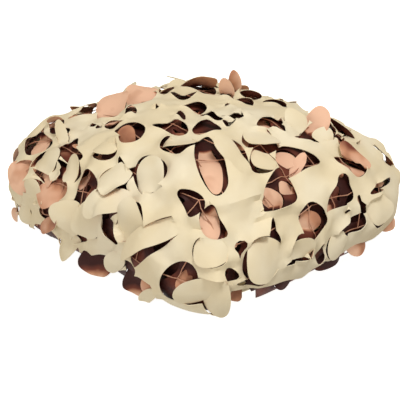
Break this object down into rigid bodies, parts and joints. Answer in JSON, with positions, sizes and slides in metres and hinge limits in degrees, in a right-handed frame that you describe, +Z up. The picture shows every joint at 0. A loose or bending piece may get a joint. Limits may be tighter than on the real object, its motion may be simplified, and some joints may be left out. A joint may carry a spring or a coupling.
{
  "type": "folded camouflage net",
  "caption": "Leaf-cut camouflage net folded into a soft domed bundle, with standing leaves, oval cuts and a string support net.",
  "frame": {"origin": "middle of the flat underside of the bundle, on the surface that it rests on", "axes": "+Z up, +X along the longer side of the bundle, +Y along the shorter side"},
  "size_m": [0.4869, 0.4458, 0.2042],
  "materials": {
    "cloth": "matt coated cloth, sand coloured on its face and pinkish brown on its back",
    "string": "matt brown twisted string"
  },
  "bodies": {
    "root": {"camo_cloth": "cloth", "support_net": "string"}
  },
  "joints": []
}
